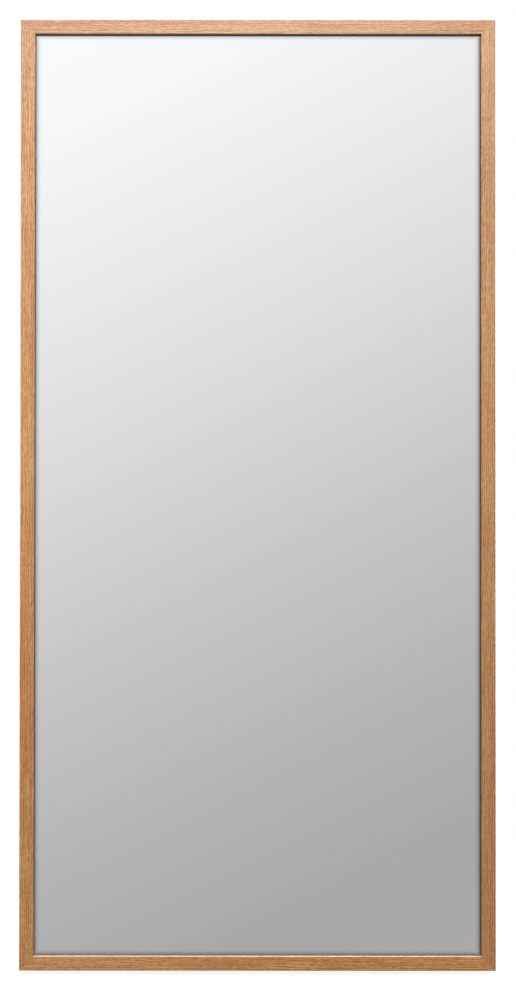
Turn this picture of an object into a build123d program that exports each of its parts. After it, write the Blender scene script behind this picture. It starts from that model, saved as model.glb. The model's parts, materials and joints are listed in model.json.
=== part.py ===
from build123d import *

import os
from math import cos, radians, sin, tan

# Free-standing floor mirror: a mitred oak frame that leans back on a hinged oak easel leg.
#
# The frame is drawn upright in its own coordinates: x across, y back from the front face, z up
# from the bottom edge. The leg is drawn hanging from the hinge axis. Both are then set at their
# angles, so that the feet stand on the floor at z = 0 and the origin is the middle of the footprint.

# Oak frame
frame_width = 800.0
frame_height = 1600.0
face_width = 24.0
lip_thickness = 10.5
rebate_width = 9.0
face_edge_radius = 1.2
back_edge_radius = 1.0

# Glazing, from the lip backwards
tape_thickness = 1.0
tape_width = 6.0
tape_setback = 0.6
glass_thickness = 4.0
glass_edge_gap = 1.5
film_thickness = 0.3
foam_thickness = 3.0
panel_thickness = 5.0
panel_edge_gap = 0.5
bead_width = 8.0
bead_depth = 8.0
bead_radius = 4.0
bead_setback = 4.7
spline_width = 8.0
spline_length = 10.0
spline_thickness = 3.0
setting_block_length = 80.0
side_block_length = 40.0

# Stance
lean_angle = 8.0
spread_angle = 8.0

# Hinge rail across the back
hinge_axis_height = 1180.0
hinge_rail_height = 60.0
hinge_rail_thickness = 20.0
hinge_rail_inset = 1.5
hinge_clearance = 0.3
oak_edge_radius = 1.5

# Butt hinges
hinge_length = 60.0
hinge_spacing = 290.0
leaf_width = 19.0
leaf_thickness = 2.0
leaf_corner_radius = 2.0
knuckle_radius = 3.2
knuckle_count = 5
knuckle_gap = 0.2
hinge_pin_radius = 1.6
hinge_pin_clearance = 0.05
hinge_pin_head_radius = 2.6
hinge_pin_head_height = 1.0

# Easel leg
leg_frame_width = 440.0
leg_width = 26.0
fold_gap = 1.0
head_bar_height = 44.0
foot_bar_height = 34.0
foot_bar_rise = 60.0
dowel_radius = 3.0
dowel_length = 32.0
dowel_spacing = 13.0

# Rubber feet
frame_foot_length = 50.0
frame_foot_depth = 10.0
frame_foot_spacing = 600.0
foot_edge_thickness = 2.0
foot_corner_radius = 3.0

# Corner braces
brace_arm = 60.0
brace_width = 11.0
brace_thickness = 1.6
brace_corner_radius = 2.5

# Strap that stops the leg from opening further
strap_width = 20.0
strap_thickness = 1.6
strap_lay = 12.0
strap_plate_width = 34.0
strap_plate_height = 9.0
strap_plate_thickness = 1.5
strap_plate_radius = 2.0
strap_gap = 0.3

# Brackets for a wall tether
tether_spacing = 500.0
tether_flange_length = 36.0
tether_height = 12.0
tether_thickness = 2.0
tether_tab_width = 16.0
tether_reach = 18.0
tether_hole_reach = 10.0
tether_corner_radius = 3.0
tether_hole_radius = 3.25

# Fasteners: shank radius, head radius and length of each countersunk screw
rail_screw = {"shank": 2.25, "head": 4.2, "length": 42.0}
leaf_screw = {"shank": 1.6, "head": 3.0, "length": 15.0}
brace_screw = {"shank": 1.5, "head": 2.8, "length": 13.0}
foot_screw = {"shank": 1.5, "head": 2.8, "length": 11.0}
screw_recess_share = 0.62
pin_radius = 0.6
pin_spacing = 250.0
pin_screw_gap = 0.5

# Sizes worked out from those above
wall_width = face_width - rebate_width
glass_inset = wall_width + glass_edge_gap
glass_front = lip_thickness + tape_thickness
film_front = glass_front + glass_thickness
foam_front = film_front + film_thickness
panel_front = foam_front + foam_thickness
bead_front = panel_front + panel_thickness
frame_depth = bead_front + bead_depth + bead_setback
hinge_gap = 2 * (knuckle_radius + hinge_clearance)
pin_length = bead_width + wall_width / 2 - rail_screw["shank"] - pin_screw_gap
rail_back = frame_depth + hinge_rail_thickness
axis_depth = rail_back + leaf_thickness
leg_thickness = hinge_rail_thickness - fold_gap
leg_back = -leaf_thickness
leg_front = leg_back - leg_thickness
leg_top = -hinge_gap / 2
strap_plate_offset = (strap_lay + strap_thickness) / 2
hinge_edge_height = hinge_axis_height + hinge_gap / 2

lean = radians(lean_angle)
spread = radians(spread_angle)
frame_rise = frame_depth * sin(lean) + foot_edge_thickness * cos(lean)
hinge_world_z = frame_rise - axis_depth * sin(lean) + hinge_axis_height * cos(lean)
hinge_back = axis_depth * cos(lean) + hinge_axis_height * sin(lean)


def floor_below(depth):
    """Where the floor is along the leg, at a depth from the hinge axis."""
    return -(hinge_world_z + depth * sin(spread)) / cos(spread)


leg_bottom = floor_below(leg_front) + foot_edge_thickness
stand_depth = hinge_back + leg_back * cos(spread) - floor_below(leg_back) * sin(spread)
frame_place = Pos(0, -stand_depth / 2, frame_rise) * Rot(-lean_angle, 0, 0)
leg_place = Pos(0, hinge_back - stand_depth / 2, hinge_world_z) * Rot(spread_angle, 0, 0)

# Ways that a fastener drawn pointing down can face
from_back = Rot(-90, 0, 0)
from_front = Rot(90, 0, 0)
from_below = Rot(180, 0, 0)
pointing_left = Rot(0, 90, 0)
pointing_right = Rot(0, -90, 0)


def block(x0, x1, y0, y1, z0, z1):
    """A box between two corners."""
    return Pos((x0 + x1) / 2, (y0 + y1) / 2, (z0 + z1) / 2) * Box(x1 - x0, y1 - y0, z1 - z0)


def panel(inset, y0, y1):
    """A sheet as large as the frame's outline less an inset all round."""
    half = frame_width / 2 - inset
    return block(-half, half, y0, y1, inset, frame_height - inset)


def mitred(ring):
    """Cuts a ring that follows the frame's outline into four lengths, mitred at the corners."""
    reach = face_width * 2
    outer_x, inner_x = frame_width / 2, frame_width / 2 - reach
    low, high = reach, frame_height - reach
    corners = {
        "left": [(-outer_x, 0), (-outer_x, frame_height), (-inner_x, high), (-inner_x, low)],
        "right": [(outer_x, 0), (outer_x, frame_height), (inner_x, high), (inner_x, low)],
        "top": [(-outer_x, frame_height), (outer_x, frame_height), (inner_x, high), (-inner_x, high)],
        "bottom": [(-outer_x, 0), (outer_x, 0), (inner_x, low), (-inner_x, low)],
    }
    lengths = {}
    for side, points in corners.items():
        outline = Plane.XZ * make_face(Polyline(*points, close=True))
        lengths[side] = ring & extrude(outline, 2 * frame_depth, both=True)
    return lengths


def screw_body(screw):
    """Countersunk screw pointing down, the flat of its head on the XY plane."""
    shank, head, length = screw["shank"], screw["head"], screw["length"]
    sink = head - shank
    tip = -length - shank
    profile = Polyline((0, 0), (head, 0), (shank, -sink), (shank, -length), (0, tip), close=True)
    return revolve(Plane.XZ * make_face(profile), Axis.Z)


def wood_screw(screw):
    """The screw with a cross recess in its head."""
    body, head = screw_body(screw), screw["head"]
    slot = (screw_recess_share * 2 * head, head * 0.22, (head - screw["shank"]) * 1.2)
    return body - Box(*slot) - Box(slot[1], slot[0], slot[2])


def screw_hole(screw):
    """The hole that a screw fills, open above the head."""
    return screw_body(screw) + Pos(0, 0, screw["head"] / 2) * Cylinder(screw["head"], screw["head"])


def bead_pin():
    """Headless pin pointing down from the origin."""
    return Pos(0, 0, -pin_length / 2) * Cylinder(pin_radius, pin_length)


def mitre_splines():
    """A tongue across each mitre, in the middle of the wall."""
    middle = wall_width / 2
    tongue = Box(spline_length, spline_thickness, spline_width)
    splines = []
    for x, left in ((-frame_width / 2 + middle, 1), (frame_width / 2 - middle, -1)):
        for z, low in ((middle, 1), (frame_height - middle, -1)):
            splines.append(Pos(x, frame_depth / 2, z) * Rot(0, left * low * 45, 0) * tongue)
    return splines


def evenly(span, spacing):
    """Places along a span, centred on 0 and about a spacing apart."""
    count = max(2, round(span / spacing))
    return [span * ((i + 0.5) / count - 0.5) for i in range(count)]


def frame_lengths():
    """The four oak mouldings before drilling: a face lip in front, a rebate for the glass behind."""
    ring = panel(0, 0, frame_depth) - panel(face_width, -1, lip_thickness + 1)
    ring -= panel(wall_width, lip_thickness, frame_depth + 1)
    ring = fillet(ring.faces().sort_by(Axis.Y)[0].edges(), face_edge_radius)
    ring = fillet(ring.faces().sort_by(Axis.Y)[-1].edges(), back_edge_radius)
    return mitred(ring)


def bead_lengths():
    """Quarter-round beads that hold the back panel in the rebate."""
    ring = panel(wall_width, bead_front, bead_front + bead_depth)
    ring -= panel(wall_width + bead_width, bead_front - 1, frame_depth)
    rear = ring.faces().sort_by(Axis.Y)[-1]
    inner_edges = rear.inner_wires()[0].edges()
    return mitred(fillet(inner_edges, bead_radius))


def bead_pin_places():
    """Pins driven from the opening through each bead into the frame's wall."""
    depth = bead_front + bead_depth / 2
    side = frame_width / 2 - wall_width - bead_width
    low, high = wall_width + bead_width, frame_height - wall_width - bead_width
    middle = frame_height / 2
    places = []
    for z in evenly(frame_height - 2 * face_width, pin_spacing):
        places.append(Pos(-side, depth, middle + z) * pointing_left)
        places.append(Pos(side, depth, middle + z) * pointing_right)
    for x in evenly(frame_width - 2 * face_width, pin_spacing):
        places.append(Pos(x, depth, low))
        places.append(Pos(x, depth, high) * from_below)
    return places


def glazing():
    """Tape, glass, safety film and foam, as they are laid into the rebate, with their edge blocks."""
    tape_outer = face_width - tape_setback - tape_width
    tape_ring = panel(tape_outer, lip_thickness, glass_front)
    tape_ring -= panel(tape_outer + tape_width, lip_thickness - 1, glass_front + 1)
    blocks = []
    low, high = wall_width, frame_height - wall_width - glass_edge_gap
    side = frame_width / 2 - wall_width
    for x in (-frame_width / 4, frame_width / 4):
        half = setting_block_length / 2
        blocks.append(block(x - half, x + half, glass_front, film_front, low, low + glass_edge_gap))
    for z in (frame_height / 4, 3 * frame_height / 4):
        half = side_block_length / 2
        blocks.append(block(-side, -side + glass_edge_gap, glass_front, film_front, z - half, z + half))
        blocks.append(block(side - glass_edge_gap, side, glass_front, film_front, z - half, z + half))
    return {
        "glazing_tape": list(mitred(tape_ring).values()),
        "mirror_glass": panel(glass_inset, glass_front, film_front),
        "safety_film": panel(glass_inset, film_front, foam_front),
        "foam_sheet": panel(glass_inset, foam_front, panel_front),
        "glass_edge_blocks": blocks,
        "back_panel": panel(wall_width + panel_edge_gap, panel_front, bead_front),
    }


def corner_brace():
    """An L-shaped plate flat on the frame's back, for the bottom left corner, which is at the origin."""
    outline = Polyline(
        (0, 0), (brace_arm, 0), (brace_arm, brace_width), (brace_width, brace_width),
        (brace_width, brace_arm), (0, brace_arm), close=True,
    )
    plate = Pos(0, frame_depth, 0) * extrude(Plane.XZ * make_face(outline), -brace_thickness)
    return fillet(plate.edges().filter_by(Axis.Y), brace_corner_radius)


def brace_screw_offsets():
    """Screw places on a brace, from its outer corner."""
    middle = brace_width / 2
    near, far = brace_arm * 0.45, brace_arm - middle
    return [(near, middle), (far, middle), (middle, near), (middle, far)]


def corner_braces():
    """The four braces, by corner, and the places of their screws."""
    margin = (wall_width - brace_width) / 2
    braces, places = {}, []
    for across, side in ((1, "left"), (-1, "right")):
        for up, level in ((1, "bottom"), (-1, "top")):
            corner_z = margin if up > 0 else frame_height - margin
            corner = Vector(-across * (frame_width / 2 - margin), 0, corner_z)
            plate = corner_brace()
            if across < 0:
                plate = plate.mirror(Plane.YZ)
            if up < 0:
                plate = plate.mirror(Plane.XY)
            braces[f"corner_brace_{level}_{side}"] = Pos(corner) * plate
            for dx, dz in brace_screw_offsets():
                at = (corner.X + across * dx, frame_depth + brace_thickness, corner.Z + up * dz)
                places.append(Pos(*at) * from_back)
    return braces, places


def hinge_rail():
    """The oak rail across the back that carries the hinges, and the places of its screws."""
    half = frame_width / 2 - hinge_rail_inset
    top = hinge_edge_height + hinge_rail_height
    rail = block(-half, half, frame_depth, rail_back, hinge_edge_height, top)
    rail = fillet(rail.faces().sort_by(Axis.Y)[-1].edges(), oak_edge_radius)
    places = []
    for side in (-1, 1):
        x = side * (frame_width - wall_width) / 2
        for share in (0.25, 0.75):
            z = hinge_edge_height + share * hinge_rail_height
            places.append(Pos(x, rail_back, z) * from_back)
    return rail, places


def hinge_leaf(up):
    """A leaf above or below the axis, which is at the origin, flat against the wood in front of it.

    The upper leaf has every other knuckle, from the first, and holds the pin.
    """
    pitch = hinge_length / knuckle_count
    near = knuckle_radius + knuckle_gap
    plate = block(-hinge_length / 2, hinge_length / 2, -leaf_thickness, 0, near, leaf_width)
    outer = plate.faces().sort_by(Axis.Z)[-1]
    plate = fillet(outer.edges().filter_by(Axis.Y), leaf_corner_radius)
    for i in range(0 if up else 1, knuckle_count, 2):
        centre = -hinge_length / 2 + (i + 0.5) * pitch
        half = (pitch - knuckle_gap) / 2
        plate += Pos(centre, 0, 0) * Rot(0, 90, 0) * Cylinder(knuckle_radius, 2 * half)
        plate += block(centre - half, centre + half, -leaf_thickness, 0, 0, near)
    bore = hinge_pin_radius if up else hinge_pin_radius + hinge_pin_clearance
    plate -= Rot(0, 90, 0) * Cylinder(bore, 2 * hinge_length)
    return plate if up else plate.mirror(Plane.XY)


def hinge_pin():
    """The pin through the knuckles, with a domed head at each end."""
    end = hinge_length / 2 + hinge_pin_head_height / 2
    pin = Rot(0, 90, 0) * Cylinder(hinge_pin_radius, hinge_length)
    for x in (-end, end):
        head = Pos(x, 0, 0) * Rot(0, 90, 0) * Cylinder(hinge_pin_head_radius, hinge_pin_head_height)
        outer = head.faces().sort_by(Axis.X)[-1 if x > 0 else 0]
        pin += fillet(outer.edges(), hinge_pin_head_height * 0.6)
    return pin


def leaf_screw_places(up):
    """Three screws in a leaf, the middle one nearer the knuckle."""
    sign = 1 if up else -1
    near, far = leaf_width * 0.45, leaf_width * 0.68
    offsets = ((-hinge_length * 0.36, far), (0, near), (hinge_length * 0.36, far))
    return [Pos(x, 0, sign * z) * from_back for x, z in offsets]


def leg_members():
    """The easel leg's four oak members and its dowels, about the hinge axis."""
    half = leg_frame_width / 2
    head_bottom = leg_top - head_bar_height
    inner = half - leg_width
    bar_low = leg_bottom + foot_bar_rise
    bar_high = bar_low + foot_bar_height
    members = {
        "leg_head_bar": block(-half, half, leg_front, leg_back, head_bottom, leg_top),
        "leg_foot_bar": block(-inner, inner, leg_front, leg_back, bar_low, bar_high),
        "leg_left": block(-half, -inner, leg_front, leg_back, leg_bottom, head_bottom),
        "leg_right": block(inner, half, leg_front, leg_back, leg_bottom, head_bottom),
    }
    for name, piece in members.items():
        along = Axis.X if name.endswith("bar") else Axis.Z
        members[name] = fillet(piece.edges().filter_by(along), oak_edge_radius)
    depth = (leg_front + leg_back) / 2
    places = []
    for side in (-1, 1):
        for offset in (-dowel_spacing / 2, dowel_spacing / 2):
            places.append(Pos(side * (half - leg_width / 2) + offset, depth, head_bottom))
            bar_joint = Pos(side * inner, depth, (bar_low + bar_high) / 2 + offset)
            places.append(bar_joint * Rot(0, 90, 0))
    dowels = [place * Cylinder(dowel_radius, dowel_length) for place in places]
    for name in members:
        members[name] -= dowels
    return members, dowels


def wedge_foot(x, half_length, y0, y1, z_top, z0, z1):
    """A rubber foot under a sloping edge: level underneath, z0 at its front and z1 at its back."""
    profile = Plane.YZ * make_face(Polyline((y0, z_top), (y1, z_top), (y1, z1), (y0, z0), close=True))
    foot = Pos(x, 0, 0) * extrude(profile, half_length, both=True)
    return fillet(foot.edges().filter_by(Axis.Z), foot_corner_radius)


def frame_feet():
    """Two rubber feet under the back of the bottom rail, and the places of their screws."""
    front = frame_depth - frame_foot_depth
    back_z = -foot_edge_thickness
    front_z = back_z - frame_foot_depth * tan(lean)
    feet, places = {}, []
    for side, x in (("left", -frame_foot_spacing / 2), ("right", frame_foot_spacing / 2)):
        half = frame_foot_length / 2
        feet[f"frame_foot_{side}"] = wedge_foot(x, half, front, frame_depth, 0, front_z, back_z)
        sink = foot_screw["head"] - foot_screw["shank"]
        for offset in (-half / 2, half / 2):
            places.append(Pos(x + offset, frame_depth - frame_foot_depth / 2, -sink) * from_below)
    return feet, places


def leg_feet():
    """A rubber foot under each leg, and the places of their screws."""
    feet, places = {}, []
    for side, x in (("left", -1), ("right", 1)):
        centre = x * (leg_frame_width - leg_width) / 2
        low_front, low_back = floor_below(leg_front), floor_below(leg_back)
        feet[f"leg_foot_{side}"] = wedge_foot(
            centre, leg_width / 2, leg_front, leg_back, leg_bottom, low_front, low_back
        )
        sink = foot_screw["head"] - foot_screw["shank"]
        places.append(Pos(centre, (leg_front + leg_back) / 2, leg_bottom - sink) * from_below)
    return feet, places


def strap_plate():
    """The plate that clamps the strap, flat in the XZ plane and from y = 0 back to its thickness."""
    half_width, half_height = strap_plate_width / 2, strap_plate_height / 2
    plate = block(-half_width, half_width, 0, strap_plate_thickness, -half_height, half_height)
    return fillet(plate.edges().filter_by(Axis.Y), strap_plate_radius)


def strap_screw_offsets():
    """How far each side of its middle a strap plate is screwed: midway between the strap and its end."""
    offset = (strap_plate_width + strap_width) / 4
    return -offset, offset


def stay_strap():
    """The strap when taut: up the bottom rail's back, across to the leg, and up the foot bar's front."""
    bar_face = leg_front - strap_gap - strap_thickness
    bar_low = leg_bottom + foot_bar_rise
    corners = [
        frame_place * Pos(0, frame_depth, wall_width - strap_lay),
        frame_place * Pos(0, frame_depth, wall_width),
        leg_place * Pos(0, bar_face, bar_low),
        leg_place * Pos(0, bar_face, bar_low + strap_lay),
    ]
    line = Polyline(*[(corner.position.Y, corner.position.Z) for corner in corners])
    outline = offset(line, strap_thickness, kind=Kind.INTERSECTION, side=Side.RIGHT, closed=True)
    return extrude(Plane.YZ * make_face(outline), strap_width / 2, both=True)


def tether_brackets():
    """Two L brackets on the back of the top rail, with a hole in each tab, and their screws' places."""
    middle = frame_height - wall_width / 2
    low = middle - tether_height / 2
    half, tab_half = tether_flange_length / 2, tether_tab_width / 2
    back, tab_back = frame_depth + tether_thickness, frame_depth + tether_reach
    brackets, places = {}, []
    for side, x in (("left", -tether_spacing / 2), ("right", tether_spacing / 2)):
        flange = block(x - half, x + half, frame_depth, back, low, low + tether_height)
        flange = fillet(flange.edges().filter_by(Axis.Y), tether_corner_radius)
        tab = block(x - tab_half, x + tab_half, frame_depth, tab_back, low, low + tether_thickness)
        tab_corners = tab.faces().sort_by(Axis.Y)[-1].edges().filter_by(Axis.Z)
        tab = fillet(tab_corners, tether_corner_radius)
        hole = Cylinder(tether_hole_radius, 4 * tether_thickness)
        bracket = flange + tab - Pos(x, frame_depth + tether_hole_reach, low) * hole
        brackets[f"tether_bracket_{side}"] = bracket
        for dx in (-1, 1):
            screw_x = x + dx * (half + tab_half) / 2
            places.append(Pos(screw_x, back, middle) * from_back)
    return brackets, places


def drill(pieces, names, places, screw):
    """Cuts the holes for these screws in the named pieces, and gives the screws."""
    holes = [place * screw_hole(screw) for place in places]
    for name in names:
        pieces[name] -= holes
    return [place * wood_screw(screw) for place in places]


def hinge_places():
    """The two hinges' places along the axis."""
    return [("left", Pos(-hinge_spacing / 2, 0, 0)), ("right", Pos(hinge_spacing / 2, 0, 0))]


def mirror_pieces():
    """All that is fixed to the frame, in the frame's coordinates."""
    lengths = frame_lengths()
    stiles, rails = ["left_stile", "right_stile"], ["top_rail", "bottom_rail"]
    pieces = {
        "left_stile": lengths["left"],
        "right_stile": lengths["right"],
        "top_rail": lengths["top"],
        "bottom_rail": lengths["bottom"],
    }
    splines = mitre_splines()
    for name in stiles + rails:
        pieces[name] -= splines
    pieces["mitre_splines"] = splines
    pieces.update(glazing())

    beads = {f"back_bead_{side}": bead for side, bead in bead_lengths().items()}
    pieces.update(beads)
    pins = [place * bead_pin() for place in bead_pin_places()]
    for name in stiles + rails + list(beads):
        pieces[name] -= pins
    pieces["bead_pins"] = pins

    braces, places = corner_braces()
    pieces.update(braces)
    pieces["corner_brace_screws"] = drill(pieces, stiles + rails + list(braces), places, brace_screw)

    pieces["hinge_rail"], places = hinge_rail()
    pieces["hinge_rail_screws"] = drill(pieces, stiles + ["hinge_rail"], places, rail_screw)

    feet, places = frame_feet()
    pieces.update(feet)
    pieces["frame_foot_screws"] = drill(pieces, ["bottom_rail"] + list(feet), places, foot_screw)

    plate_back = frame_depth + strap_thickness + strap_plate_thickness
    plate_middle = wall_width - strap_plate_offset
    pieces["frame_strap_plate"] = Pos(0, plate_back - strap_plate_thickness, plate_middle) * strap_plate()
    places = [Pos(x, plate_back, plate_middle) * from_back for x in strap_screw_offsets()]
    pieces["frame_strap_screws"] = drill(pieces, ["bottom_rail", "frame_strap_plate"], places, brace_screw)

    brackets, places = tether_brackets()
    pieces.update(brackets)
    pieces["tether_screws"] = drill(pieces, ["top_rail"] + list(brackets), places, brace_screw)

    places = []
    for side, place in hinge_places():
        at = Pos(0, axis_depth, hinge_axis_height) * place
        pieces[f"hinge_fixed_leaf_{side}"] = at * hinge_leaf(up=True)
        pieces[f"hinge_pin_{side}"] = at * hinge_pin()
        places += [at * screw_place for screw_place in leaf_screw_places(up=True)]
    drilled = ["hinge_rail", "hinge_fixed_leaf_left", "hinge_fixed_leaf_right"]
    pieces["hinge_fixed_screws"] = drill(pieces, drilled, places, leaf_screw)
    return pieces


def leg_pieces():
    """All that swings with the leg, about the hinge axis."""
    pieces, dowels = leg_members()
    pieces["leg_dowels"] = dowels

    places = []
    for side, place in hinge_places():
        pieces[f"hinge_moving_leaf_{side}"] = place * hinge_leaf(up=False)
        places += [place * screw_place for screw_place in leaf_screw_places(up=False)]
    drilled = ["leg_head_bar", "hinge_moving_leaf_left", "hinge_moving_leaf_right"]
    pieces["hinge_moving_screws"] = drill(pieces, drilled, places, leaf_screw)

    feet, places = leg_feet()
    pieces.update(feet)
    pieces["leg_foot_screws"] = drill(pieces, ["leg_left", "leg_right"] + list(feet), places, foot_screw)

    plate_front = leg_front - 2 * strap_gap - strap_thickness - strap_plate_thickness
    plate_middle = leg_bottom + foot_bar_rise + strap_plate_offset
    pieces["leg_strap_plate"] = Pos(0, plate_front, plate_middle) * strap_plate()
    places = [Pos(x, plate_front, plate_middle) * from_front for x in strap_screw_offsets()]
    pieces["leg_strap_screws"] = drill(pieces, ["leg_foot_bar", "leg_strap_plate"], places, brace_screw)
    return pieces


def write(pieces, place):
    """Writes each piece at its place in the standing mirror, one file for each."""
    for name, piece in pieces.items():
        solids = piece if isinstance(piece, list) else piece.solids()
        export_step(Compound(children=[place * solid for solid in solids]), f"parts/{name}.step")


os.makedirs("parts", exist_ok=True)
write(mirror_pieces(), frame_place)
write(leg_pieces(), leg_place)
write({"stay_strap": stay_strap()}, Location())
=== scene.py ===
# Free-standing floor mirror: slim oak frame, silvered glass, hinged easel leg behind.
import json
import math

import bmesh
import bpy
from mathutils import Matrix, Vector


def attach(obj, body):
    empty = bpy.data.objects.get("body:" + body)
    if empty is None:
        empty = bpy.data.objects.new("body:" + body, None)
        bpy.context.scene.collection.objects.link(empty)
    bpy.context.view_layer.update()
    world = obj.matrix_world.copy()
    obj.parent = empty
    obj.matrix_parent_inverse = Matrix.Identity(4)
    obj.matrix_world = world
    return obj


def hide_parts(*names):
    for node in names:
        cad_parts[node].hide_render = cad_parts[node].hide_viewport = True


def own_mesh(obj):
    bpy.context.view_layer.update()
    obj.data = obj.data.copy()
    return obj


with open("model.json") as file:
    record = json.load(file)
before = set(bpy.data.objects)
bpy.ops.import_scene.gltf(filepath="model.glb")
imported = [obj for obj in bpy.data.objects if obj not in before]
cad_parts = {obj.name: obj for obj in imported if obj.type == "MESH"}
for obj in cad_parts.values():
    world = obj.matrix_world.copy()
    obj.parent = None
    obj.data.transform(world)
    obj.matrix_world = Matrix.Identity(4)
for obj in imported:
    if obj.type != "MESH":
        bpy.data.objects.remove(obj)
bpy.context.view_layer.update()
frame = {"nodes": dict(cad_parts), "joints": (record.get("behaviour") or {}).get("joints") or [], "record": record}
print("frame loaded:", len(frame["nodes"]), "nodes")

scene = bpy.context.scene
scene.view_settings.view_transform = "Standard"

# how the mirror and its leg stand: both turn about X
tetherHole = next(m for m in frame["record"]["mounts"] if m["name"] == "tether_hole_left")
legFold = next(j for j in frame["joints"] if j["name"] == "leg_fold")
lean = math.atan2(tetherHole["axis"][1], tetherHole["axis"][2])
foldAngle = math.radians(legFold["range_deg"][0])
spread = -foldAngle - lean
hingeAt = Vector(legFold["pos_m"])


def span(nodeName, turn):
    # a node's lowest and highest corner once it is turned upright
    upright = Matrix.Rotation(turn, 3, "X")
    points = [upright @ v.co for v in frame["nodes"][nodeName].data.vertices]
    low = Vector([min(p[i] for p in points) for i in range(3)])
    high = Vector([max(p[i] for p in points) for i in range(3)])
    return low, high


def startMaterial(name):
    made = bpy.data.materials.new(name)
    made.use_nodes = True
    tree = made.node_tree
    shader = tree.nodes["Principled BSDF"]
    return made, tree, shader


def addNode(tree, kind, sockets=None, **settings):
    made = tree.nodes.new(kind)
    for key, value in settings.items():
        setattr(made, key, value)
    for key, value in (sockets or {}).items():
        socket = made.inputs[key]
        if isinstance(value, bpy.types.NodeSocket):
            tree.links.new(value, socket)
        else:
            socket.default_value = value
    return made


def stretched(tree, source, scale, move=(0, 0, 0)):
    # the pattern's coordinates, scaled and shifted
    sockets = {"Vector": source, "Scale": scale, "Location": move}
    return addNode(tree, "ShaderNodeMapping", sockets).outputs[0]


def noiseAt(tree, source, detail=2.0, roughness=0.5):
    sockets = {"Vector": source, "Scale": 1.0, "Detail": detail, "Roughness": roughness}
    return addNode(tree, "ShaderNodeTexNoise", sockets).outputs["Fac"]


def rampOf(tree, factor, stops):
    made = addNode(tree, "ShaderNodeValToRGB", {"Fac": factor})
    ramp = made.color_ramp
    while len(ramp.elements) < len(stops):
        ramp.elements.new(0.5)
    for element, (place, colour) in zip(ramp.elements, stops):
        element.position = place
        element.color = colour if len(colour) == 4 else (*colour, 1)
    return made.outputs["Color"]


def mathOf(tree, operation, first, second=0.0, third=0.0, clamp=False):
    made = addNode(tree, "ShaderNodeMath", operation=operation, use_clamp=clamp)
    for socket, value in zip(made.inputs, (first, second, third)):
        if isinstance(value, bpy.types.NodeSocket):
            tree.links.new(value, socket)
        else:
            socket.default_value = value
    return made.outputs[0]


def mixColours(tree, factor, first, second, blend="MIX"):
    made = addNode(tree, "ShaderNodeMix", data_type="RGBA", blend_type=blend)
    for index, value in ((0, factor), (6, first), (7, second)):
        socket = made.inputs[index]
        if isinstance(value, bpy.types.NodeSocket):
            tree.links.new(value, socket)
        else:
            socket.default_value = value
    return made.outputs[2]


def partsOf(tree, vector):
    return addNode(tree, "ShaderNodeSeparateXYZ", {"Vector": vector}).outputs


def objectPlace(tree):
    return addNode(tree, "ShaderNodeTexCoord").outputs["Object"]


def facesAlong(tree, direction):
    # 1 on the faces that look that way, 0 on all others
    normal = addNode(tree, "ShaderNodeNewGeometry").outputs["Normal"]
    sockets = {0: normal, 1: tuple(direction)}
    turned = addNode(tree, "ShaderNodeVectorMath", sockets, operation="DOT_PRODUCT").outputs["Value"]
    return mathOf(tree, "GREATER_THAN", turned, 0.9)


def addBump(tree, shader, height, strength, depth):
    bump = addNode(tree, "ShaderNodeBump", {"Height": height, "Strength": strength, "Distance": depth})
    tree.links.new(bump.outputs[0], shader.inputs["Normal"])


def uprightCoordinates(tree, turn, alongX=False, move=(0, 0, 0)):
    # object coordinates stood upright, with the grain's length always on the last axis
    sockets = {"Vector": objectPlace(tree), "Rotation": (turn, 0, 0)}
    upright = addNode(tree, "ShaderNodeMapping", sockets).outputs[0]
    if not alongX:
        return stretched(tree, upright, (1, 1, 1), move)
    parts = partsOf(tree, upright)
    swapped = addNode(tree, "ShaderNodeCombineXYZ", {"X": parts["Z"], "Y": parts["Y"], "Z": parts["X"]})
    return stretched(tree, swapped.outputs[0], (1, 1, 1), move)


def addObject(name, data):
    made = bpy.data.objects.new(name, data)
    scene.collection.objects.link(made)
    return made


def meshOf(bm, name):
    mesh = bpy.data.meshes.new(name)
    bm.to_mesh(mesh)
    bm.free()
    return mesh


def dress(material, *nodeNames):
    for nodeName in nodeNames:
        for slot in frame["nodes"][nodeName].material_slots:
            slot.link = "OBJECT"
            slot.material = material


# oak: fine growth lines, short wavy streaks and open pores
oakLook = {
    "pale": (0.74, 0.41, 0.18),
    "mid": (0.585, 0.262, 0.078),
    "dark": (0.42, 0.142, 0.028),
    "pore": (0.26, 0.088, 0.022),
    "paintedShading": (0.055, 0.03, 0.018),  # painted shade on the edge round the glass, at the top and the sides
    "paintedHighlight": (0.95, 0.85, 0.68),  # painted highlight on the same edge at the bottom, which faces up
    "ringsPerMetre": 275,
    "ringDrift": 1.7,  # how many rings the lines wander
    "ringStrength": 0.07,
    "streakPerMetre": 460,  # across the grain
    "streakStretch": 120,  # along it, per metre
    "longStretch": 9,
    "wander": 0.0014,  # how far the grain sways, in metres
    "porePerMetre": 1100,
    "poreStretch": 150,
    "poreStrength": 0.42,
    "roughness": 0.4,
    "reliefDepth": 0.0001,
    "lacquer": 0.25,
    "lacquerRoughness": 0.12,
}


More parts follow.
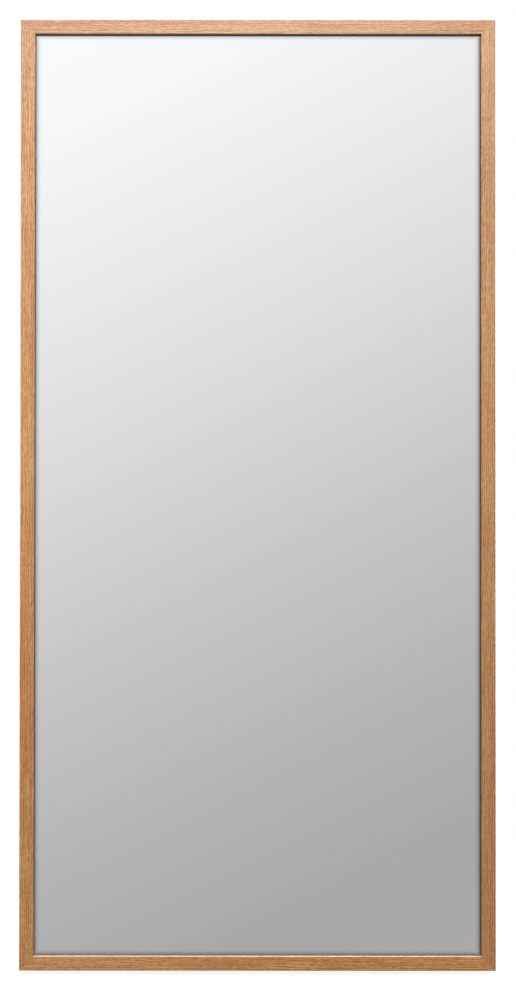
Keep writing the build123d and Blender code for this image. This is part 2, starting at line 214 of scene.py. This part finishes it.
def makeOak(name, turn, alongX, move, boardToneAndShade=1.0, paintedEdge=None):
    look = oakLook
    made, tree, shader = startMaterial(name)
    place = uprightCoordinates(tree, turn, alongX, move)

    # the grain wanders from side to side, slowly and in small ripples
    slow = noiseAt(tree, stretched(tree, place, (16, 16, 6)))
    ripple = noiseAt(tree, stretched(tree, place, (110, 110, 62), (3.0, 1.0, 8.0)), detail=1)
    sway = mathOf(tree, "MULTIPLY_ADD", slow, look["wander"] * 5, -look["wander"] * 2.5)
    sway = mathOf(tree, "MULTIPLY_ADD", ripple, look["wander"], sway)
    shift = addNode(tree, "ShaderNodeCombineXYZ", {"X": sway, "Y": sway})
    both = {0: place, 1: shift.outputs[0]}
    wavy = addNode(tree, "ShaderNodeVectorMath", both, operation="ADD").outputs[0]

    streak = look["streakPerMetre"]
    shortStreaks = stretched(tree, wavy, (streak, streak, look["streakStretch"]))
    short = noiseAt(tree, shortStreaks, roughness=0.6)
    wide = streak * 0.8
    longStreaks = stretched(tree, wavy, (wide, wide, look["longStretch"]), (0.7, 0.2, 0.9))
    long = noiseAt(tree, longStreaks, roughness=0.6)
    tone = noiseAt(tree, stretched(tree, place, (30, 30, 2.2), (4.1, 0.3, 2.7)), detail=1)
    mixed = mathOf(tree, "MULTIPLY_ADD", short, 0.46, mathOf(tree, "MULTIPLY", long, 0.34))
    mixed = mathOf(tree, "MULTIPLY_ADD", tone, 0.2, mixed)

    # fine lines of growth, drifting along the grain
    wholeTurn = 2 * math.pi
    drift = noiseAt(tree, stretched(tree, wavy, (130, 130, 11), (5.0, 2.0, 1.0)))
    parts = partsOf(tree, wavy)
    across = mathOf(tree, "MULTIPLY_ADD", parts["Y"], 0.7, parts["X"])
    phase = mathOf(tree, "MULTIPLY", across, wholeTurn * look["ringsPerMetre"])
    phase = mathOf(tree, "MULTIPLY_ADD", drift, wholeTurn * look["ringDrift"], phase)
    mixed = mathOf(tree, "MULTIPLY_ADD", mathOf(tree, "SINE", phase), look["ringStrength"], mixed)
    colour = rampOf(tree, mixed, [(0.36, look["dark"]), (0.5, look["mid"]), (0.64, look["pale"])])

    # open pores: short dark dashes along the grain, crowded where the streaks are dark
    pore = look["porePerMetre"]
    pores = noiseAt(tree, stretched(tree, wavy, (pore, pore, look["poreStretch"])), detail=1)
    crowd = mathOf(tree, "MULTIPLY_ADD", mixed, -0.5, 0.62)
    poreMask = mathOf(tree, "MULTIPLY", mathOf(tree, "SUBTRACT", crowd, pores), 8.0, clamp=True)
    poreAmount = mathOf(tree, "MULTIPLY", poreMask, look["poreStrength"])
    colour = mixColours(tree, poreAmount, colour, (*look["pore"], 1))
    # each member's own tone; the right stile's is darker partly as painted shade on that side
    if boardToneAndShade != 1.0:
        colour = mixColours(tree, 1.0, colour, (boardToneAndShade, boardToneAndShade * 0.985, boardToneAndShade * 0.96, 1), "MULTIPLY")
    if paintedEdge:
        # painted shade on the edge round the glass, stronger on some sides than others, and a painted highlight on
        # it at the bottom
        direction, amount, paintedShading = paintedEdge
        edgeShadingMask = mathOf(tree, "MULTIPLY", facesAlong(tree, direction), amount)
        colour = mixColours(tree, edgeShadingMask, colour, (*look[paintedShading], 1))
    tree.links.new(colour, shader.inputs["Base Color"])

    roughness = mathOf(tree, "MULTIPLY_ADD", poreMask, 0.2, look["roughness"])
    tree.links.new(roughness, shader.inputs["Roughness"])
    relief = mathOf(tree, "MULTIPLY_ADD", poreMask, -0.7, mathOf(tree, "MULTIPLY", short, 0.3))
    addBump(tree, shader, relief, 0.5, look["reliefDepth"])
    shader.inputs["Coat Weight"].default_value = look["lacquer"]
    shader.inputs["Coat Roughness"].default_value = look["lacquerRoughness"]
    return made


oakMembers = (  # each member, whether it lies along X, how it is turned, and its tone, which on the right stile is partly painted shade
    ("left_stile", False, lean, 1.0),
    ("right_stile", False, lean, 0.86),
    ("top_rail", True, lean, 0.9),
    ("bottom_rail", True, lean, 1.04),
    ("hinge_rail", True, lean, 0.96),
    ("leg_head_bar", True, -spread, 0.97),
    ("leg_foot_bar", True, -spread, 1.0),
    ("leg_left", False, -spread, 0.98),
    ("leg_right", False, -spread, 0.95),
    ("back_bead_left", False, lean, 0.93),
    ("back_bead_right", False, lean, 0.95),
    ("back_bead_top", True, lean, 0.92),
    ("back_bead_bottom", True, lean, 0.94),
)


def dressOak():
    above = Matrix.Rotation(-lean, 3, "X") @ Vector((0, 0, 1))
    paintedEdges = {  # which way the edge faces, how strong its painted shading is, and which painted colour: shade at the top and sides, a highlight at the bottom
        "left_stile": ((1, 0, 0), 0.25, "paintedShading"),
        "right_stile": ((-1, 0, 0), 0.85, "paintedShading"),
        "top_rail": (-above, 0.95, "paintedShading"),
        "bottom_rail": (above, 0.7, "paintedHighlight"),
    }
    # every member is cut from another place in the board
    for index, (nodeName, alongX, turn, boardToneAndShade) in enumerate(oakMembers):
        move = (0.37 * index + 0.11, 0.53 * index, 1.7 * index)
        dress(makeOak(f"oak {nodeName}", turn, alongX, move, boardToneAndShade, paintedEdges.get(nodeName)), nodeName)


# beech: the dowels and the splines
beechLook = {
    "dark": (0.42, 0.24, 0.12),
    "pale": (0.6, 0.4, 0.23),
    "flecks": (900, 900, 140),  # per metre, the last along the grain
    "roughness": 0.6,
}


def makeBeech():
    made, tree, shader = startMaterial("raw beech")
    place = uprightCoordinates(tree, -spread)
    flecks = noiseAt(tree, stretched(tree, place, beechLook["flecks"]))
    colour = rampOf(tree, flecks, [(0.35, beechLook["dark"]), (0.6, beechLook["pale"])])
    tree.links.new(colour, shader.inputs["Base Color"])
    shader.inputs["Roughness"].default_value = beechLook["roughness"]
    return made


# glass: silvered in front, with painted shade along the edge where it meets the lip
glassLook = {
    "silver": (0.965, 0.97, 0.968),
    "paintedShadeReach": 0.0115,  # how far the painted shade at the edge reaches in
    "edgeTones": (  # share of that reach, and how bright the silver is painted there
        (0.0, 0.19), (0.1, 0.23), (0.19, 0.44), (0.3, 0.62),
        (0.43, 0.76), (0.57, 0.87), (0.72, 0.95), (1.0, 1.0),
    ),
    "shadeOffCentre": 0.0005,  # the painted shade reaches less far in at the left stile and the top rail, further at the right stile
    "backingPaint": (0.16, 0.17, 0.17),
    "silverRoughness": 0.008,
    "paintRoughness": 0.5,
}


def makeSilver():
    look = glassLook
    # distances are measured from what the frame leaves open
    openLow = Vector((span("left_stile", lean)[1].x, 0, span("bottom_rail", lean)[1].z))
    openHigh = Vector((span("right_stile", lean)[0].x, 0, span("top_rail", lean)[0].z))
    made, tree, shader = startMaterial("silvered glass")
    place = uprightCoordinates(tree, lean)
    parts = partsOf(tree, place)
    gaps = [
        mathOf(tree, "SUBTRACT", parts["X"], openLow.x - look["shadeOffCentre"]),
        mathOf(tree, "SUBTRACT", openHigh.x - look["shadeOffCentre"], parts["X"]),
        mathOf(tree, "SUBTRACT", parts["Z"], openLow.z),
        mathOf(tree, "SUBTRACT", openHigh.z + look["shadeOffCentre"], parts["Z"]),
    ]
    nearest = gaps[0]
    for gap in gaps[1:]:
        nearest = mathOf(tree, "SMOOTH_MIN", nearest, gap, 0.003)
    inward = mathOf(tree, "DIVIDE", nearest, look["paintedShadeReach"], clamp=True)
    # painted shade: a brown line against the wood, standing for the shaded lip and its reflection, then a faintly
    # blue painted darkening until the silver is full
    stops = []
    for at, tone in look["edgeTones"]:
        shadeTint = (1.2, 0.92, 0.8) if tone < 0.25 else (1, 1 + (1 - tone) * 0.02, 1 + (1 - tone) * 0.04)
        stops.append((at, tuple(silver * tone * share for silver, share in zip(look["silver"], shadeTint))))
    edge = rampOf(tree, inward, stops)
    # only the front is silvered: the edges and back are painted
    front = facesAlong(tree, (0, -math.cos(lean), math.sin(lean)))
    speckle = noiseAt(tree, stretched(tree, place, (300, 300, 300)))
    darker, paler = [tuple(tone * share for tone in look["backingPaint"]) for share in (0.85, 1.15)]
    backing = rampOf(tree, speckle, [(0.3, darker), (0.7, paler)])
    tree.links.new(mixColours(tree, front, backing, edge), shader.inputs["Base Color"])
    tree.links.new(front, shader.inputs["Metallic"])
    painted, silvered = look["paintRoughness"], look["silverRoughness"]
    roughness = mathOf(tree, "MULTIPLY_ADD", front, silvered - painted, painted)
    tree.links.new(roughness, shader.inputs["Roughness"])
    return made


# fibreboard: a fine fluff with faint clouds
boardLook = {
    "tones": ((0.3, (0.29, 0.185, 0.105)), (0.5, (0.39, 0.26, 0.155)), (0.7, (0.47, 0.325, 0.2))),
    "fluffPerMetre": 520,
    "cloudShare": 0.14,
    "roughness": 0.82,
    "reliefDepth": 0.0002,
}


def makeBoard():
    look = boardLook
    made, tree, shader = startMaterial("raw fibreboard")
    place = uprightCoordinates(tree, lean)
    fluff = stretched(tree, place, (look["fluffPerMetre"],) * 3)
    fluff = noiseAt(tree, fluff, detail=5, roughness=0.75)
    cloud = noiseAt(tree, stretched(tree, place, (9, 9, 7)), detail=3)
    cloud = mathOf(tree, "MULTIPLY", cloud, look["cloudShare"])
    mixed = mathOf(tree, "MULTIPLY_ADD", fluff, 1 - look["cloudShare"], cloud)
    tree.links.new(rampOf(tree, mixed, look["tones"]), shader.inputs["Base Color"])
    shader.inputs["Roughness"].default_value = look["roughness"]
    addBump(tree, shader, fluff, 0.35, look["reliefDepth"])
    return made


# tape, film, foam, rubber and plated steel:
# the darker and the paler tone, mottles per metre, roughness, relief in metres, and metal or not
plainLooks = {
    "black glazing tape": ((0.012, 0.01, 0.009), (0.03, 0.026, 0.022), 900, 0.75, 0.0001, 0.0),
    "grey safety film": ((0.3, 0.31, 0.33), (0.36, 0.37, 0.39), 60, 0.4, 0.00002, 0.0),
    "closed-cell foam": ((0.5, 0.5, 0.48), (0.66, 0.66, 0.64), 1400, 0.85, 0.0003, 0.0),
    "black rubber": ((0.018, 0.018, 0.018), (0.035, 0.035, 0.034), 1800, 0.7, 0.00008, 0.0),
    "zinc plate": ((0.5, 0.5, 0.47), (0.68, 0.68, 0.64), 420, 0.34, 0.00003, 1.0),
    "screw zinc": ((0.46, 0.46, 0.45), (0.62, 0.62, 0.6), 1500, 0.3, 0.00003, 1.0),
}


def makePlain(name):
    # a fine even mottle between two tones
    dark, pale, perMetre, roughness, relief, metal = plainLooks[name]
    made, tree, shader = startMaterial(name)
    place = uprightCoordinates(tree, lean)
    mottle = noiseAt(tree, stretched(tree, place, (perMetre,) * 3), detail=4, roughness=0.65)
    tree.links.new(rampOf(tree, mottle, [(0.3, dark), (0.7, pale)]), shader.inputs["Base Color"])
    rough = mathOf(tree, "MULTIPLY_ADD", mottle, 0.16, roughness - 0.08)
    tree.links.new(rough, shader.inputs["Roughness"])
    shader.inputs["Metallic"].default_value = metal
    addBump(tree, shader, mottle, 0.3, relief)
    return made


# hinges: brushed steel
hingeLook = {
    "dark": (0.44, 0.43, 0.41),
    "pale": (0.66, 0.65, 0.63),
    "brushLines": (90, 5200, 5200),  # per metre, finest across the lines
    "smoothest": 0.22,
    "reliefDepth": 0.00005,
}


def makeBrushed(name, turn):
    # fine brush lines along X
    look = hingeLook
    made, tree, shader = startMaterial(name)
    place = uprightCoordinates(tree, turn)
    lines = noiseAt(tree, stretched(tree, place, look["brushLines"]), detail=3, roughness=0.6)
    colour = rampOf(tree, lines, [(0.3, look["dark"]), (0.7, look["pale"])])
    tree.links.new(colour, shader.inputs["Base Color"])
    shader.inputs["Metallic"].default_value = 1.0
    rough = mathOf(tree, "MULTIPLY_ADD", lines, 0.2, look["smoothest"])
    tree.links.new(rough, shader.inputs["Roughness"])
    addBump(tree, shader, lines, 0.2, look["reliefDepth"])
    return made


def dressHardware():
    names = list(frame["nodes"])
    dress(makeSilver(), "mirror_glass")
    dress(makeBoard(), "back_panel")
    dress(makeBeech(), "leg_dowels", "mitre_splines")
    dress(makePlain("black glazing tape"), "glazing_tape")
    dress(makePlain("grey safety film"), "safety_film")
    dress(makePlain("closed-cell foam"), "foam_sheet")
    feet = [n for n in names if n.endswith(("foot_left", "foot_right"))]
    dress(makePlain("black rubber"), "glass_edge_blocks", *feet)
    plated = ("corner_brace", "tether", "frame_strap", "leg_strap")
    dress(makePlain("zinc plate"), *[n for n in names if n.startswith(plated)])
    dress(makePlain("screw zinc"), "bead_pins", *[n for n in names if n.endswith("screws")])
    onFrame = makeBrushed("brushed hinge steel, upper", lean)
    onLeg = makeBrushed("brushed hinge steel, lower", -spread)
    dress(onFrame, *[n for n in names if n.startswith(("hinge_fixed_leaf", "hinge_pin"))])
    dress(onLeg, *[n for n in names if n.startswith("hinge_moving_leaf")])


# webbing strap, in metres
strapSizes = {
    "width": 0.02,
    "thickness": 0.0016,
    "lay": 0.012,  # how much lies under each clamp plate
    "gapAtBar": 0.0003,  # between the strap and the foot bar
    "bendRadius": 0.0022,
    "ribPitch": 0.0016,
    "ribHeight": 0.00013,
    "ringsPerRib": 4,
    "columns": 12,
    "edgeThickness": 0.35,  # of the thickness in the middle
    "least": 0.01,  # how flat the slack may be squashed
}


def strapRoute():
    # the corners of the strap's middle line: up the rail's back, across, up the foot bar's front
    thick, lay = strapSizes["thickness"], strapSizes["lay"]
    offset = (lay + thick) / 2
    low, high = span("frame_strap_plate", lean)
    fromUpright = Matrix.Rotation(-lean, 3, "X")
    railFace, middle = low.y - thick / 2, (low.z + high.z) / 2
    start = fromUpright @ Vector((0, railFace, middle + offset - lay))
    leave = fromUpright @ Vector((0, railFace, middle + offset - thick / 2))
    low, high = span("leg_strap_plate", -spread)
    fromUpright = Matrix.Rotation(spread, 3, "X")
    barFace, middle = high.y + strapSizes["gapAtBar"] + thick / 2, (low.z + high.z) / 2
    arrive = fromUpright @ Vector((0, barFace, middle - offset + thick / 2))
    end = fromUpright @ Vector((0, barFace, middle - offset + lay))
    return [start, leave, arrive, end]


def roundedRoute(corners, radius, step):
    # even points along the route, with an arc at each inner corner
    dense = [corners[0]]
    for before, at, after in zip(corners, corners[1:], corners[2:]):
        inward, outward = (at - before).normalized(), (after - at).normalized()
        turn = inward.angle(outward)
        reach = radius * math.tan(turn / 2)
        first, last = at - inward * reach, at + outward * reach
        side = (outward - inward * inward.dot(outward)).normalized()
        centre = first + side * radius
        steps = 12
        for i in range(steps + 1):
            angle = turn * i / steps
            dense.append(centre - side * radius * math.cos(angle) + inward * radius * math.sin(angle))
        dense[-1] = last
    dense.append(corners[-1])
    lengths = [0.0]
    for first, second in zip(dense, dense[1:]):
        lengths.append(lengths[-1] + (second - first).length)
    count = round(lengths[-1] / step)
    points, index = [], 0
    for i in range(count + 1):
        wanted = lengths[-1] * i / count
        while index < len(dense) - 2 and lengths[index + 1] < wanted:
            index += 1
        share = (wanted - lengths[index]) / max(lengths[index + 1] - lengths[index], 1e-9)
        points.append(dense[index].lerp(dense[index + 1], min(share, 1.0)))
    return points, lengths[-1]


webbingLook = {
    "dark": (0.011, 0.011, 0.012),
    "pale": (0.045, 0.045, 0.048),
    "yarnsPerMetre": 140.0,
    "roughness": 0.78,
    "sheen": 0.3,
    "reliefDepth": 0.00015,
}


def makeWebbing():
    look = webbingLook
    made, tree, shader = startMaterial("woven webbing")
    weave = addNode(tree, "ShaderNodeUVMap", uv_map="weave").outputs[0]
    sockets = {"Vector": weave, "Scale": look["yarnsPerMetre"], "Distortion": 1.5, "Detail": 2.0}
    yarn = addNode(tree, "ShaderNodeTexWave", sockets, bands_direction="DIAGONAL")
    fuzz = noiseAt(tree, stretched(tree, weave, (3000, 1200, 1)), detail=3)
    mixed = mathOf(tree, "MULTIPLY_ADD", yarn.outputs["Fac"], 0.5, mathOf(tree, "MULTIPLY", fuzz, 0.5))
    colour = rampOf(tree, mixed, [(0.25, look["dark"]), (0.75, look["pale"])])
    tree.links.new(colour, shader.inputs["Base Color"])
    shader.inputs["Roughness"].default_value = look["roughness"]
    shader.inputs["Sheen Weight"].default_value = look["sheen"]
    addBump(tree, shader, mixed, 0.5, look["reliefDepth"])
    return made


def buildStrap(name, corners, webbing):
    size = strapSizes
    points, length = roundedRoute(corners, size["bendRadius"], size["ribPitch"] / size["ringsPerRib"])
    across, half = size["columns"], size["thickness"] / 2 - size["ribHeight"]
    thin = size["edgeThickness"]
    bm = bmesh.new()
    weave = bm.loops.layers.uv.new("weave")
    rings, places = [], []
    for i, point in enumerate(points):
        before, after = points[max(i - 1, 0)], points[min(i + 1, len(points) - 1)]
        along = (after - before).normalized()
        up = Vector((1, 0, 0)).cross(along).normalized()
        travelled = length * i / (len(points) - 1)
        beat = math.pi * travelled / size["ribPitch"]
        ring, marks = [], []
        for face in (1, -1):
            for j in range(across + 1):
                share = j / across if face > 0 else 1 - j / across
                edge = 1 - abs(2 * share - 1) ** 6  # thins to a rounded selvedge
                column = 1 if int(share * across + 0.5) % 2 else -1
                swell = size["ribHeight"] * (0.5 + 0.5 * math.sin(beat + column * math.pi / 2)) * edge
                height = face * (half * (thin + (1 - thin) * edge) + swell)
                x = (share - 0.5) * size["width"]
                ring.append(bm.verts.new(point + Vector((x, 0, 0)) + up * height))
                marks.append((share * size["width"], travelled))
        rings.append(ring)
        places.append(marks)
    count = len(rings[0])
    for i in range(len(rings) - 1):
        for j in range(count):
            k = (j + 1) % count
            face = bm.faces.new((rings[i][j], rings[i][k], rings[i + 1][k], rings[i + 1][j]))
            spots = (places[i][j], places[i][k], places[i + 1][k], places[i + 1][j])
            for loop, spot in zip(face.loops, spots):
                loop[weave].uv = spot
            face.smooth = True
    for ring in (rings[0], rings[-1]):
        bm.faces.new(ring)
    bmesh.ops.recalc_face_normals(bm, faces=bm.faces)
    strap = addObject(name, meshOf(bm, name))
    strap.data.materials.append(webbing)
    return strap, length


# stitches: bar tacks in pale thread
stitchSizes = {
    "rowsAt": (0.012, 0.0155, 0.019),  # from each end of the free stretch
    "inset": 0.0022,  # from the strap's edges
    "pitch": 0.0021,
    "length": 0.0026,
    "thread": 0.0005,
    "dark": (0.30, 0.29, 0.27),
    "pale": (0.5, 0.49, 0.46),
    "roughness": 0.6,
}


def makeThread():
    made, tree, shader = startMaterial("waxed thread")
    place = uprightCoordinates(tree, lean)
    twist = noiseAt(tree, stretched(tree, place, (4000, 4000, 4000)))
    colour = rampOf(tree, twist, [(0.3, stitchSizes["dark"]), (0.7, stitchSizes["pale"])])
    tree.links.new(colour, shader.inputs["Base Color"])
    shader.inputs["Roughness"].default_value = stitchSizes["roughness"]
    return made


def stitchTree(thread):
    # small beads of thread laid end to end along every edge that it is given
    tree = bpy.data.node_groups.new("stitch rows", "GeometryNodeTree")
    tree.interface.new_socket("Rows", in_out="INPUT", socket_type="NodeSocketGeometry")
    for name in ("Pitch", "Length", "Thread"):
        tree.interface.new_socket(name, in_out="INPUT", socket_type="NodeSocketFloat")
    tree.interface.new_socket("Stitches", in_out="OUTPUT", socket_type="NodeSocketGeometry")
    given, result = addNode(tree, "NodeGroupInput"), addNode(tree, "NodeGroupOutput")
    rows = addNode(tree, "GeometryNodeMeshToCurve", {"Mesh": given.outputs["Rows"]})
    sockets = {"Curve": rows.outputs[0], "Length": given.outputs["Pitch"]}
    marks = addNode(tree, "GeometryNodeCurveToPoints", sockets, mode="LENGTH").outputs
    turn = addNode(tree, "FunctionNodeAlignRotationToVector", {"Vector": marks["Tangent"]}, axis="Z")
    bead = addNode(tree, "GeometryNodeMeshUVSphere", {"Segments": 8, "Rings": 5, "Radius": 0.5})
    sockets = {"X": given.outputs["Thread"], "Y": given.outputs["Thread"], "Z": given.outputs["Length"]}
    shape = addNode(tree, "ShaderNodeCombineXYZ", sockets)
    laid = addNode(tree, "GeometryNodeInstanceOnPoints", {
        "Points": marks["Points"], "Instance": bead.outputs["Mesh"],
        "Rotation": turn.outputs["Rotation"], "Scale": shape.outputs[0],
    })
    whole = addNode(tree, "GeometryNodeRealizeInstances", {"Geometry": laid.outputs["Instances"]})
    smooth = addNode(tree, "GeometryNodeSetShadeSmooth", {"Geometry": whole.outputs["Geometry"]})
    sockets = {"Geometry": smooth.outputs["Geometry"], "Material": thread}
    dressed = addNode(tree, "GeometryNodeSetMaterial", sockets)
    tree.links.new(dressed.outputs["Geometry"], result.inputs["Stitches"])
    return tree


def buildStitches(thread):
    # bar tacks across the strap near each plate, on both faces
    size, strap = stitchSizes, strapSizes
    leave, arrive = strapRoute()[1:3]
    along = (arrive - leave).normalized()
    up = Vector((1, 0, 0)).cross(along).normalized()
    reach = strap["width"] / 2 - size["inset"]
    bm = bmesh.new()
    for end, inward in ((leave, along), (arrive, -along)):
        for distance in size["rowsAt"]:
            for face in (-1, 1):
                middle = end + inward * distance + up * face * strap["thickness"] / 2
                across = [bm.verts.new(middle + Vector((x, 0, 0))) for x in (-reach, reach)]
                bm.edges.new(across)
    rows = addObject("stitch rows", meshOf(bm, "stitch rows"))
    tree = stitchTree(thread)
    layer = rows.modifiers.new("stitches", "NODES")
    layer.node_group = tree
    given = {"Pitch": size["pitch"], "Length": size["length"], "Thread": size["thread"]}
    for item in tree.interface.items_tree:
        if item.name in given:
            layer[item.identifier] = given[item.name]
    graph = bpy.context.evaluated_depsgraph_get()
    made = bpy.data.meshes.new_from_object(rows.evaluated_get(graph), depsgraph=graph)
    made.name = "strap_stitches"
    bpy.data.objects.remove(rows)
    print("stitches laid:", len(made.polygons), "faces")
    return addObject("strap_stitches", made)


def finishStrap():
    # the bend at the leg's clamp goes with the leg; for the run up to it, how much of its length would be kept
    # once the leg is folded is only worked out and printed
    start, leave, arrive, end = strapRoute()
    meet = arrive + (leave - arrive).normalized() * strapSizes["bendRadius"] * 2
    webbing = makeWebbing()
    strap, length = buildStrap("webbing_strap", [start, leave, meet], webbing)
    strapEnd, endLength = buildStrap("webbing_strap_end", [meet, arrive, end], webbing)
    stitches = buildStitches(makeThread())
    folded = hingeAt + Matrix.Rotation(foldAngle, 3, "X") @ (meet - hingeAt)
    moved = meet - folded
    axis = moved.normalized()
    keep = 1 - moved.length / (meet - leave).dot(axis)
    keep = max(keep, strapSizes["least"])
    for piece in (strap, stitches):
        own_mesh(piece)
        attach(piece, "mirror")
    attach(strapEnd, "easel_leg")
    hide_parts("stay_strap")
    length += endLength
    print("strap built, length", round(length * 1000), "mm, keep", round(keep, 3))


# studio, in metres, degrees and watts
studio = {
    "cameraAcross": -0.0002,
    "cameraDistance": 5.0,
    "cameraHeight": 1.396,
    "cameraPitch": -6.938,
    "cameraRoll": -0.05,
    "lens": 107.12,
    "floorRadius": 1.15,
    "floorGlow": 0.9,  # how much of the floor's white at its middle is its own
    "coveRadius": 12.0,
    "coveLow": -6.0,
    "coveHigh": 7.0,
    "coveTilt": 0.5,  # how much brighter the backdrop is to the left
    "coveTones": (  # height and brightness: grey at the horizon, white high up, pale again low down
        (-3.1, 0.95), (-1.8, 0.8), (-0.8, 0.42), (0.1, 0.40), (1.1, 0.472),
        (2.3, 0.59), (3.9, 0.783), (5.5, 0.961), (6.3, 1.0),
    ),
    "lamps": (  # where each softbox is, what it points at, its size, spread and power
        ("front softbox", (-0.1, -2.3, 3.0), (0.0, 0.0, 1.0), (1.5, 1.2), 90, 16),
        ("high softbox", (0.0, -6.2, 4.34), (0.0, 0.0, 0.9), (3.0, 1.0), 180, 90),
        ("rear softbox", (-1.3, 3.2, 2.7), (0.0, 0.1, 0.8), (2.2, 1.6), 150, 90),
        ("left softbox", (-2.6, 0.55, 0.95), (0.0, 0.1, 0.8), (1.2, 1.2), 120, 20),
        ("right softbox", (2.6, 0.55, 0.95), (0.0, 0.1, 0.8), (1.2, 1.2), 120, 20),
    ),
    "zenithGlow": 3.0,  # straight overhead
    "skyGlow": 0.3,  # from the horizon up
    "groundGlow": 0.05,  # from below
    "rearGlow": 2.0,  # how much more light comes from behind than from in front
    "rearShine": 0.7,  # what metal on the back reflects
}


def buildCamera():
    camera = addObject("camera", bpy.data.cameras.new("camera"))
    camera.location = (studio["cameraAcross"], -studio["cameraDistance"], studio["cameraHeight"])
    pitch, roll = math.radians(90 + studio["cameraPitch"]), math.radians(studio["cameraRoll"])
    camera.rotation_euler = (pitch, roll, 0)
    camera.data.sensor_width = 36
    camera.data.lens = studio["lens"]
    scene.camera = camera


def buildFloor():
    bm = bmesh.new()
    bmesh.ops.create_circle(bm, cap_ends=True, segments=128, radius=studio["floorRadius"])
    floor = addObject("floor", meshOf(bm, "floor"))
    floor.visible_diffuse = False
    floor.visible_glossy = False
    made, tree, shader = startMaterial("pale floor")
    shader.inputs["Base Color"].default_value = (0.9, 0.9, 0.9, 1)
    shader.inputs["Roughness"].default_value = 0.9
    # towards its rim the floor glows white, so that it has no edge against the white round it
    reach = addNode(tree, "ShaderNodeVectorMath", {0: objectPlace(tree)}, operation="LENGTH")
    share = mathOf(tree, "DIVIDE", reach.outputs["Value"], studio["floorRadius"], clamp=True)
    middle = studio["floorGlow"]
    amount = rampOf(tree, share, [(0.25, (middle,) * 3), (0.9, (1, 1, 1))])
    glow = addNode(tree, "ShaderNodeEmission", {"Color": (1, 1, 1, 1), "Strength": 1.0}).outputs[0]
    mixed = addNode(tree, "ShaderNodeMixShader", {0: amount, 1: shader.outputs[0], 2: glow})
    tree.links.new(mixed.outputs[0], tree.nodes["Material Output"].inputs["Surface"])
    floor.data.materials.append(made)


def buildCove():
    # a wide curved backdrop in front of the mirror, seen only as a reflection
    size = studio
    rows, columns = 60, 64
    bm = bmesh.new()
    rings = []
    for i in range(rows + 1):
        z = size["coveLow"] + (size["coveHigh"] - size["coveLow"]) * i / rows
        ring = []
        for j in range(columns + 1):
            angle = math.radians(-100 + 200 * j / columns)
            x, y = math.sin(angle) * size["coveRadius"], -math.cos(angle) * size["coveRadius"]
            ring.append(bm.verts.new((x, y, z)))
        rings.append(ring)
    for lower, upper in zip(rings, rings[1:]):
        for j in range(columns):
            bm.faces.new((lower[j], lower[j + 1], upper[j + 1], upper[j]))
    cove = addObject("cove", meshOf(bm, "cove"))
    cove.visible_camera = False
    cove.visible_diffuse = False
    made = bpy.data.materials.new("cove glow")
    made.use_nodes = True
    tree = made.node_tree
    tree.nodes.clear()
    parts = partsOf(tree, objectPlace(tree))
    sideways = mathOf(tree, "MINIMUM", mathOf(tree, "MAXIMUM", parts["X"], -3.0), 3.0)
    climb = mathOf(tree, "MULTIPLY_ADD", sideways, -size["coveTilt"], parts["Z"])
    low, height = size["coveLow"], size["coveHigh"] - size["coveLow"]
    share = mathOf(tree, "DIVIDE", mathOf(tree, "SUBTRACT", climb, low), height, clamp=True)
    grey = rampOf(tree, share, [((at - low) / height, (tone,) * 3) for at, tone in size["coveTones"]])
    glow = addNode(tree, "ShaderNodeEmission", {"Color": grey, "Strength": 1.0})
    addNode(tree, "ShaderNodeOutputMaterial", {"Surface": glow.outputs[0]})
    cove.data.materials.append(made)


def buildLights():
    world = bpy.data.worlds.new("studio")
    scene.world = world
    world.use_nodes = True
    tree = world.node_tree
    shine = tree.nodes["Background"]
    # white behind everything; as light it is bright overhead and dim from below
    parts = partsOf(tree, addNode(tree, "ShaderNodeTexCoord").outputs["Generated"])
    ground, sky, zenith = [(studio[name],) * 3 for name in ("groundGlow", "skyGlow", "zenithGlow")]
    upward = mathOf(tree, "MULTIPLY_ADD", parts["Z"], 0.5, 0.5)
    lit = rampOf(tree, upward, [(0.42, ground), (0.6, sky), (0.94, sky), (0.97, zenith)])
    rearward = mathOf(tree, "MAXIMUM", parts["Y"], 0.0)
    behind = mathOf(tree, "MULTIPLY_ADD", rearward, studio["rearGlow"], 1.0)
    lit = mathOf(tree, "MULTIPLY", lit, behind)
    # metal on the back has something pale to reflect
    path = addNode(tree, "ShaderNodeLightPath").outputs
    pale = mathOf(tree, "MULTIPLY_ADD", parts["Z"], 0.35, studio["rearShine"])
    pale = mathOf(tree, "MULTIPLY", mathOf(tree, "MULTIPLY", pale, rearward), path["Is Glossy Ray"])
    lit = mathOf(tree, "MAXIMUM", lit, pale)
    tree.links.new(mixColours(tree, path["Is Camera Ray"], lit, (1, 1, 1, 1)), shine.inputs["Color"])

    for name, at, towards, size, spreadAngle, power in studio["lamps"]:
        data = bpy.data.lights.new(name, "AREA")
        data.shape = "RECTANGLE"
        data.size, data.size_y = size
        data.spread = math.radians(spreadAngle)
        data.energy = power
        lamp = addObject(name, data)
        lamp.location = at
        lamp.rotation_euler = (Vector(towards) - lamp.location).to_track_quat("-Z", "Y").to_euler()


buildCamera()
buildFloor()
buildCove()
buildLights()
print("studio ready")
dressOak()
dressHardware()
print("materials on the frame")
finishStrap()
